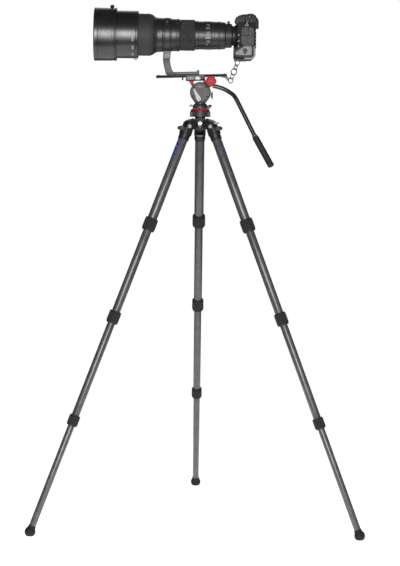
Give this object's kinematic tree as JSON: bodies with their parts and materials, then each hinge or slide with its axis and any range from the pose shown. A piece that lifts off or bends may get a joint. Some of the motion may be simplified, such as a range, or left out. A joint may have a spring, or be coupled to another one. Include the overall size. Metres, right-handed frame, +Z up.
{
  "type": "telephoto camera on a fluid-head tripod",
  "caption": "Telephoto camera with hooded lens, balance plate and support arm on a fluid head, held by a telescoping carbon fibre tripod.",
  "frame": {"origin": "on the floor, under the middle of the bounding box of the three feet; the tripod's own vertical axis is 0.1535 m in front of it (towards -Y)", "axes": "+Z up; the lens points along -X and the camera's back faces +X; -Y is the side with the rosette and pan handle"},
  "size_m": [1.0978, 0.9555, 1.719],
  "materials": {
    "carbon": "satin clear-coated twill carbon fibre",
    "cast_black": "black fine-textured paint on castings",
    "grey_metal": "bead-blasted grey",
    "rubber": "ribbed matte rubber",
    "foot_rubber": "matte rubber",
    "cover_grey": "fine grey texture paint",
    "silver": "bright satin",
    "red_anodised": "satin anodised red",
    "handle_black": "satin black",
    "plate_black": "satin anodised",
    "lens_black": "fine satin black",
    "ring_rubber": "fine ribbed rubber",
    "glass": "coated optical glass",
    "hood_black": "satin black with a soft sheen",
    "camera_black": "fine crinkle black",
    "cover_plastic": "smooth satin",
    "accent_red": "satin anodised red ring",
    "port_rubber": "smooth grey-black rubber",
    "decal_blue": "gloss film",
    "mark_white": "printed index marks",
    "screw_black": "blackened steel"
  },
  "bodies": {
    "tripod_base": {"spider": "cast_black", "level_base": "cast_black"},
    "leg_back": {"leg_top_back": "cast_black", "tube_1_back": "carbon"},
    "stop_back": {"angle_stop_back": "grey_metal"},
    "twist_1_back": {"lock_1_back": "rubber"},
    "section_2_back": {"tube_2_back": "carbon"},
    "twist_2_back": {"lock_2_back": "rubber"},
    "section_3_back": {"tube_3_back": "carbon"},
    "twist_3_back": {"lock_3_back": "rubber"},
    "section_4_back": {"tube_4_back": "carbon", "foot_back": "foot_rubber"},
    "leg_left": {"leg_top_left": "cast_black", "tube_1_left": "carbon"},
    "stop_left": {"angle_stop_left": "grey_metal"},
    "twist_1_left": {"lock_1_left": "rubber"},
    "section_2_left": {"tube_2_left": "carbon"},
    "twist_2_left": {"lock_2_left": "rubber"},
    "section_3_left": {"tube_3_left": "carbon"},
    "twist_3_left": {"lock_3_left": "rubber"},
    "section_4_left": {"tube_4_left": "carbon", "foot_left": "foot_rubber"},
    "leg_right": {"leg_top_right": "cast_black", "tube_1_right": "carbon"},
    "stop_right": {"angle_stop_right": "grey_metal"},
    "twist_1_right": {"lock_1_right": "rubber"},
    "section_2_right": {"tube_2_right": "carbon"},
    "twist_2_right": {"lock_2_right": "rubber"},
    "section_3_right": {"tube_3_right": "carbon"},
    "twist_3_right": {"lock_3_right": "rubber"},
    "section_4_right": {"tube_4_right": "carbon", "foot_right": "foot_rubber"},
    "pan_head": {"pan_turret": "cast_black", "head_housing": "cast_black", "side_cover": "cover_grey"},
    "pan_lock": {"pan_knob": "grey_metal"},
    "pan_drag": {"pan_lever": "cast_black"},
    "tilt_lock": {"tilt_lever": "silver"},
    "tilt_drag": {"drag_knob": "silver"},
    "tilt_head": {"cradle": "red_anodised", "clamp_body": "cast_black"},
    "jaw": {"clamp_jaw": "silver"},
    "jaw_screw": {"clamp_knob": "silver"},
    "handle": {"pan_handle": "handle_black", "handle_grip": "rubber"},
    "rosette": {"rosette_knob": "red_anodised"},
    "rig": {"long_plate": "plate_black", "lens_foot": "lens_black", "collar_ring": "lens_black", "lens_barrel": "lens_black", "front_glass": "glass", "hood_rear": "hood_black", "hood_front": "hood_black", "camera_body": "camera_black"},
    "collar_lock": {"collar_knob": "lens_black"},
    "focus": {"focus_ring": "ring_rubber"},
    "battery": {"battery_pack": "cover_plastic"},
    "shutter": {"shutter_button": "silver"},
    "arm_lower": {"lower_link": "silver"},
    "arm_upper": {"upper_link": "silver"}
  },
  "joints": [
    {"name": "spread_back", "type": "hinge", "parent": "tripod_base", "child": "leg_back", "pos_m": [0, -0.10847, 1.327], "axis": [1, 0, 0], "range_deg": [-21, 0]},
    {"name": "angle_stop_pull_back", "type": "slide", "parent": "leg_back", "child": "stop_back", "axis": [0, 0.9177, 0.3973], "range_m": [0, 0.007]},
    {"name": "extend_2_back", "type": "slide", "parent": "leg_back", "child": "section_2_back", "axis": [0, 0.3973, -0.9177], "range_m": [-0.28, 0]},
    {"name": "extend_3_back", "type": "slide", "parent": "section_2_back", "child": "section_3_back", "axis": [0, 0.3973, -0.9177], "range_m": [-0.318, 0]},
    {"name": "extend_4_back", "type": "slide", "parent": "section_3_back", "child": "section_4_back", "axis": [0, 0.3973, -0.9177], "range_m": [-0.34, 0]},
    {"name": "twist_lock_1_back", "type": "hinge", "parent": "leg_back", "child": "twist_1_back", "pos_m": [0, -0.10847, 1.327], "axis": [0, 0.3973, -0.9177], "range_deg": [0, 90]},
    {"name": "twist_lock_2_back", "type": "hinge", "parent": "section_2_back", "child": "twist_2_back", "pos_m": [0, -0.10847, 1.327], "axis": [0, 0.3973, -0.9177], "range_deg": [0, 90]},
    {"name": "twist_lock_3_back", "type": "hinge", "parent": "section_3_back", "child": "twist_3_back", "pos_m": [0, -0.10847, 1.327], "axis": [0, 0.3973, -0.9177], "range_deg": [0, 90]},
    {"name": "spread_left", "type": "hinge", "parent": "tripod_base", "child": "leg_left", "pos_m": [-0.03897, -0.17597, 1.327], "axis": [-0.5, 0.866, 0], "range_deg": [-21, 0]},
    {"name": "angle_stop_pull_left", "type": "slide", "parent": "leg_left", "child": "stop_left", "axis": [-0.7947, -0.4588, 0.3973], "range_m": [0, 0.007]},
    {"name": "extend_2_left", "type": "slide", "parent": "leg_left", "child": "section_2_left", "axis": [-0.3441, -0.1986, -0.9177], "range_m": [-0.28, 0]},
    {"name": "extend_3_left", "type": "slide", "parent": "section_2_left", "child": "section_3_left", "axis": [-0.3441, -0.1986, -0.9177], "range_m": [-0.318, 0]},
    {"name": "extend_4_left", "type": "slide", "parent": "section_3_left", "child": "section_4_left", "axis": [-0.3441, -0.1986, -0.9177], "range_m": [-0.34, 0]},
    {"name": "twist_lock_1_left", "type": "hinge", "parent": "leg_left", "child": "twist_1_left", "pos_m": [-0.03897, -0.17597, 1.327], "axis": [-0.3441, -0.1986, -0.9177], "range_deg": [0, 90]},
    {"name": "twist_lock_2_left", "type": "hinge", "parent": "section_2_left", "child": "twist_2_left", "pos_m": [-0.03897, -0.17597, 1.327], "axis": [-0.3441, -0.1986, -0.9177], "range_deg": [0, 90]},
    {"name": "twist_lock_3_left", "type": "hinge", "parent": "section_3_left", "child": "twist_3_left", "pos_m": [-0.03897, -0.17597, 1.327], "axis": [-0.3441, -0.1986, -0.9177], "range_deg": [0, 90]},
    {"name": "spread_right", "type": "hinge", "parent": "tripod_base", "child": "leg_right", "pos_m": [0.03897, -0.17597, 1.327], "axis": [-0.5, -0.866, 0], "range_deg": [-21, 0]},
    {"name": "angle_stop_pull_right", "type": "slide", "parent": "leg_right", "child": "stop_right", "axis": [0.7947, -0.4588, 0.3973], "range_m": [0, 0.007]},
    {"name": "extend_2_right", "type": "slide", "parent": "leg_right", "child": "section_2_right", "axis": [0.3441, -0.1986, -0.9177], "range_m": [-0.28, 0]},
    {"name": "extend_3_right", "type": "slide", "parent": "section_2_right", "child": "section_3_right", "axis": [0.3441, -0.1986, -0.9177], "range_m": [-0.318, 0]},
    {"name": "extend_4_right", "type": "slide", "parent": "section_3_right", "child": "section_4_right", "axis": [0.3441, -0.1986, -0.9177], "range_m": [-0.34, 0]},
    {"name": "twist_lock_1_right", "type": "hinge", "parent": "leg_right", "child": "twist_1_right", "pos_m": [0.03897, -0.17597, 1.327], "axis": [0.3441, -0.1986, -0.9177], "range_deg": [0, 90]},
    {"name": "twist_lock_2_right", "type": "hinge", "parent": "section_2_right", "child": "twist_2_right", "pos_m": [0.03897, -0.17597, 1.327], "axis": [0.3441, -0.1986, -0.9177], "range_deg": [0, 90]},
    {"name": "twist_lock_3_right", "type": "hinge", "parent": "section_3_right", "child": "twist_3_right", "pos_m": [0.03897, -0.17597, 1.327], "axis": [0.3441, -0.1986, -0.9177], "range_deg": [0, 90]},
    {"name": "pan", "type": "hinge", "parent": "tripod_base", "child": "pan_head", "pos_m": [0, -0.15347, 1.39], "axis": [0, 0, 1], "continuous": true},
    {"name": "pan_knob_turn", "type": "hinge", "parent": "pan_head", "child": "pan_lock", "pos_m": [0.031, -0.15347, 1.394], "axis": [1, 0, 0], "range_deg": [0, 270]},
    {"name": "pan_lever_turn", "type": "hinge", "parent": "pan_head", "child": "pan_drag", "pos_m": [-0.031, -0.15347, 1.394], "axis": [1, 0, 0], "range_deg": [-45, 45]},
    {"name": "tilt", "type": "hinge", "parent": "pan_head", "child": "tilt_head", "pos_m": [0, -0.15347, 1.4387], "axis": [0, 1, 0], "range_deg": [-60, 45]},
    {"name": "tilt_lever_turn", "type": "hinge", "parent": "pan_head", "child": "tilt_lock", "pos_m": [-0.005, -0.20047, 1.4165], "axis": [0, 1, 0], "range_deg": [-30, 60]},
    {"name": "drag_knob_turn", "type": "hinge", "parent": "pan_head", "child": "tilt_drag", "pos_m": [0.038, -0.11747, 1.43], "axis": [1, 0, 0], "range_deg": [0, 270]},
    {"name": "clamp_knob_turn", "type": "hinge", "parent": "jaw", "child": "jaw_screw", "pos_m": [-0.01, -0.18647, 1.4855], "axis": [0, -1, 0], "range_deg": [0, 756]},
    {"name": "jaw_slide", "type": "slide", "parent": "tilt_head", "child": "jaw", "axis": [0, -1, 0], "range_m": [0, 0.003]},
    {"name": "handle_swing", "type": "hinge", "parent": "tilt_head", "child": "handle", "pos_m": [0.0345, -0.20717, 1.4755], "axis": [0, -1, 0], "range_deg": [-20, 60]},
    {"name": "rosette_turn", "type": "hinge", "parent": "tilt_head", "child": "rosette", "pos_m": [0.0345, -0.22347, 1.4755], "axis": [0, -1, 0], "range_deg": [0, 360]},
    {"name": "plate_slide", "type": "slide", "parent": "tilt_head", "child": "rig", "axis": [0.9994, 0, 0.0349], "range_m": [-0.035, 0.005]},
    {"name": "collar_knob_turn", "type": "hinge", "parent": "rig", "child": "collar_lock", "pos_m": [-0.1135, -0.15347, 1.63], "axis": [0, -0.7314, 0.682], "range_deg": [0, 270]},
    {"name": "focus_turn", "type": "hinge", "parent": "rig", "child": "focus", "pos_m": [-0.045, -0.15347, 1.63], "axis": [1, 0, 0], "continuous": true},
    {"name": "battery_pull", "type": "slide", "parent": "rig", "child": "battery", "axis": [0, -1, 0], "range_m": [0, 0.065]},
    {"name": "shutter_press", "type": "slide", "parent": "rig", "child": "shutter", "axis": [0, 0, -1], "range_m": [0, 0.0015], "stiffness_N_per_m": 500, "springref_m": -0.001},
    {"name": "arm_lower_swing", "type": "hinge", "parent": "rig", "child": "arm_lower", "pos_m": [0.1008, -0.15347, 1.479], "axis": [0, 1, 0], "range_deg": [0, 90]},
    {"name": "arm_upper_swing", "type": "hinge", "parent": "arm_lower", "child": "arm_upper", "pos_m": [0.111, -0.15347, 1.5088], "axis": [0, 1, 0], "range_deg": [0, 90]}
  ],
  "couplings": [
    {"joint": "clamp_knob_turn", "follows": "jaw_slide", "rad_per_m": 4188.8}
  ]
}
